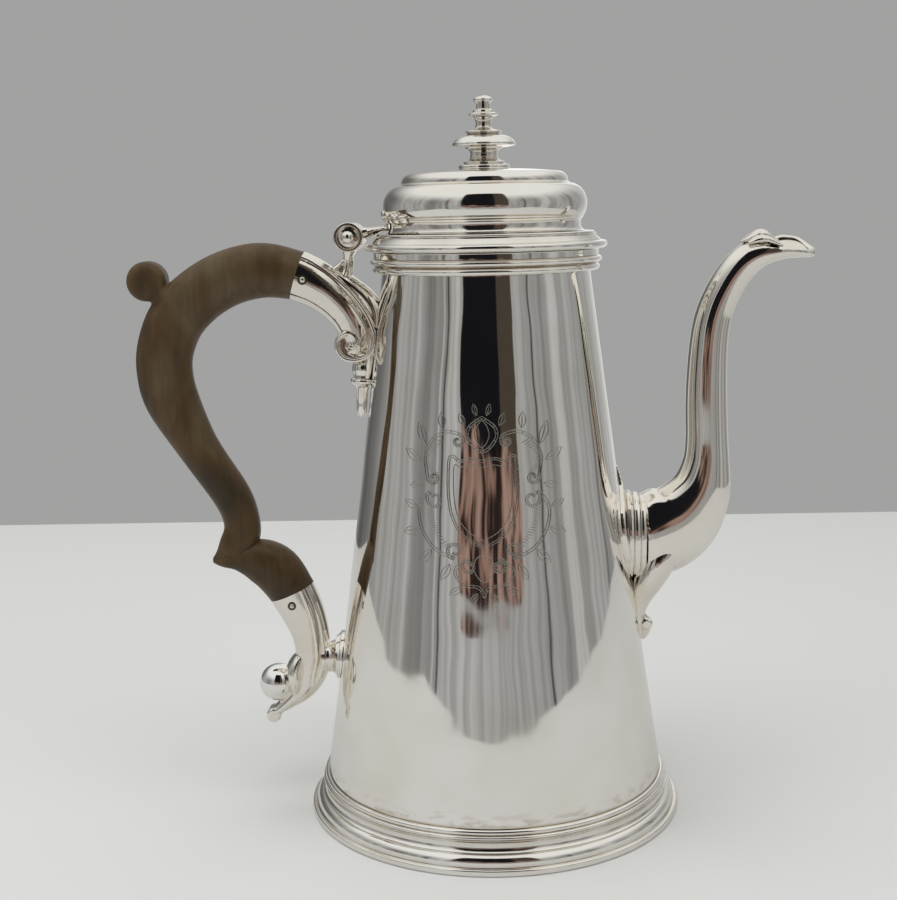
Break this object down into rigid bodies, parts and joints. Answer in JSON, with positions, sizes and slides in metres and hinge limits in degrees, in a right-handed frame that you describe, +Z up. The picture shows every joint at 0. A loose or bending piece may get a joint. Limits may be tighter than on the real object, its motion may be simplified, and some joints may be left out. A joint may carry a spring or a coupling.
{
  "type": "coffee pot",
  "caption": "Tapered silver coffee pot with a stepped foot, swan-neck spout, wooden double-scroll handle and hinged domed lid with a turned finial.",
  "frame": {"origin": "centre of the underside of the foot, on the body's axis", "axes": "+Z up along the body's axis, +X towards the spout, -X towards the handle"},
  "size_m": [0.2227, 0.124, 0.2339],
  "materials": {
    "silver": "hand-polished silver, slightly planished, with fine scratches",
    "inner_silver": "unpolished silver inside the pot and the lid",
    "pin_silver": "rubbed silver pin ends",
    "handle_wood": "dull waxed fruitwood, worn paler on the grip"
  },
  "bodies": {
    "pot": {"body_wall": "silver", "bottom_plate": "inner_silver", "foot_ring": "silver", "rim_ring": "silver", "spout_collar": "silver", "spout_left_half": "silver", "spout_right_half": "silver", "spout_drop": "silver", "handle_grip": "handle_wood", "handle_lower_scroll": "handle_wood", "upper_socket": "silver", "upper_backing": "silver", "upper_drop": "silver", "upper_pin": "pin_silver", "lower_socket": "silver", "lower_boss": "silver", "lower_ball": "silver", "lower_pin": "pin_silver", "hinge_post": "silver", "hinge_pin": "silver", "hinge_pin_cap": "silver"},
    "lid": {"lid_flange": "silver", "lid_bezel": "inner_silver", "lid_dome": "silver", "lid_leaf": "silver", "finial_base": "silver", "finial": "silver", "finial_nut": "inner_silver"}
  },
  "joints": [
    {"name": "lid_hinge", "type": "hinge", "parent": "pot", "child": "lid", "pos_m": [-0.0435, 0, 0.1905], "axis": [0, -1, 0], "range_deg": [0, 108]}
  ]
}
